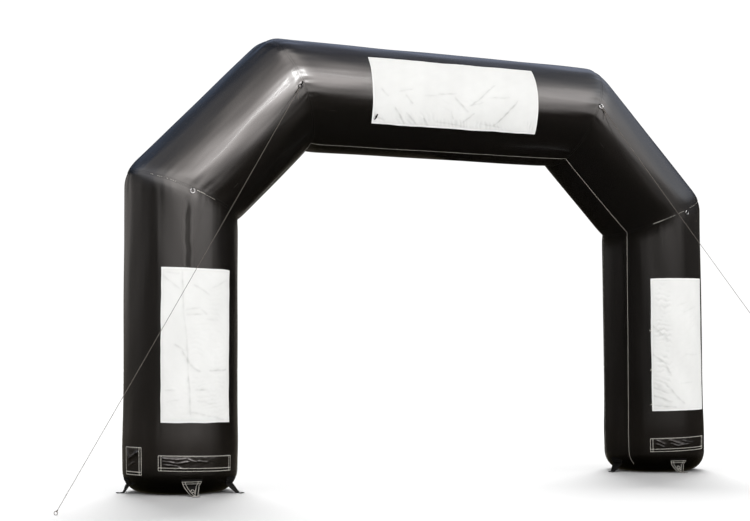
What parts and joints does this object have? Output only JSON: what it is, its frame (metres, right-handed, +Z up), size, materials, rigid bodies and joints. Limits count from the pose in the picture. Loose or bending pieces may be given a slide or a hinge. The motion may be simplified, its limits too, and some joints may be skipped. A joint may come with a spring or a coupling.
{
  "type": "inflatable arch",
  "caption": "Black inflatable event arch with level beam, angled shoulders and upright legs on rounded feet, with blank white banners, anchor tabs and guy ropes.",
  "frame": {"origin": "on the floor, midway between the two feet and midway between front and back", "axes": "+X from the left foot to the right foot as seen from the front, +Y towards the back, +Z up; the banners face -Y"},
  "size_m": [11.8989, 3.0938, 6.033],
  "materials": {
    "coated_fabric": "black PVC-coated polyester with a semi-gloss face",
    "banner_cloth": "matte white banner cloth",
    "flap_fabric": "thin black coated polyester, semi-gloss",
    "tab_webbing": "black coated fabric faced with woven webbing",
    "webbing": "woven black polyester webbing",
    "steel": "zinc-plated steel",
    "rope": "braided polyester rope, matte"
  },
  "bodies": {
    "root": {"leg_left": "coated_fabric", "shoulder_left": "coated_fabric", "beam": "coated_fabric", "shoulder_right": "coated_fabric", "leg_right": "coated_fabric", "banner_left": "banner_cloth", "banner_right": "banner_cloth", "zip_flap_left": "flap_fabric", "zip_flap_right": "flap_fabric", "blower_pocket": "flap_fabric", "banner_beam": "banner_cloth", "tab_left_front": "tab_webbing", "eyelet_left_front": "steel", "tab_left_outer": "tab_webbing", "eyelet_left_outer": "steel", "tab_left_inner": "tab_webbing", "eyelet_left_inner": "steel", "tab_left_back": "tab_webbing", "eyelet_left_back": "steel", "tab_right_front": "tab_webbing", "eyelet_right_front": "steel", "tab_right_inner": "tab_webbing", "eyelet_right_inner": "steel", "tab_right_outer": "tab_webbing", "eyelet_right_outer": "steel", "tab_right_back": "tab_webbing", "eyelet_right_back": "steel", "guy_strap_left_lower": "webbing", "guy_ring_left_lower": "steel", "guy_strap_right_lower": "webbing", "guy_ring_right_lower": "steel", "guy_strap_left_upper": "webbing", "guy_ring_left_upper": "steel", "guy_knot_left": "rope", "guy_eye_left": "rope", "guy_rope_left": "rope", "guy_strap_right_upper": "webbing", "guy_ring_right_upper": "steel", "guy_knot_right": "rope", "guy_eye_right": "rope", "guy_rope_right": "rope"}
  },
  "joints": []
}
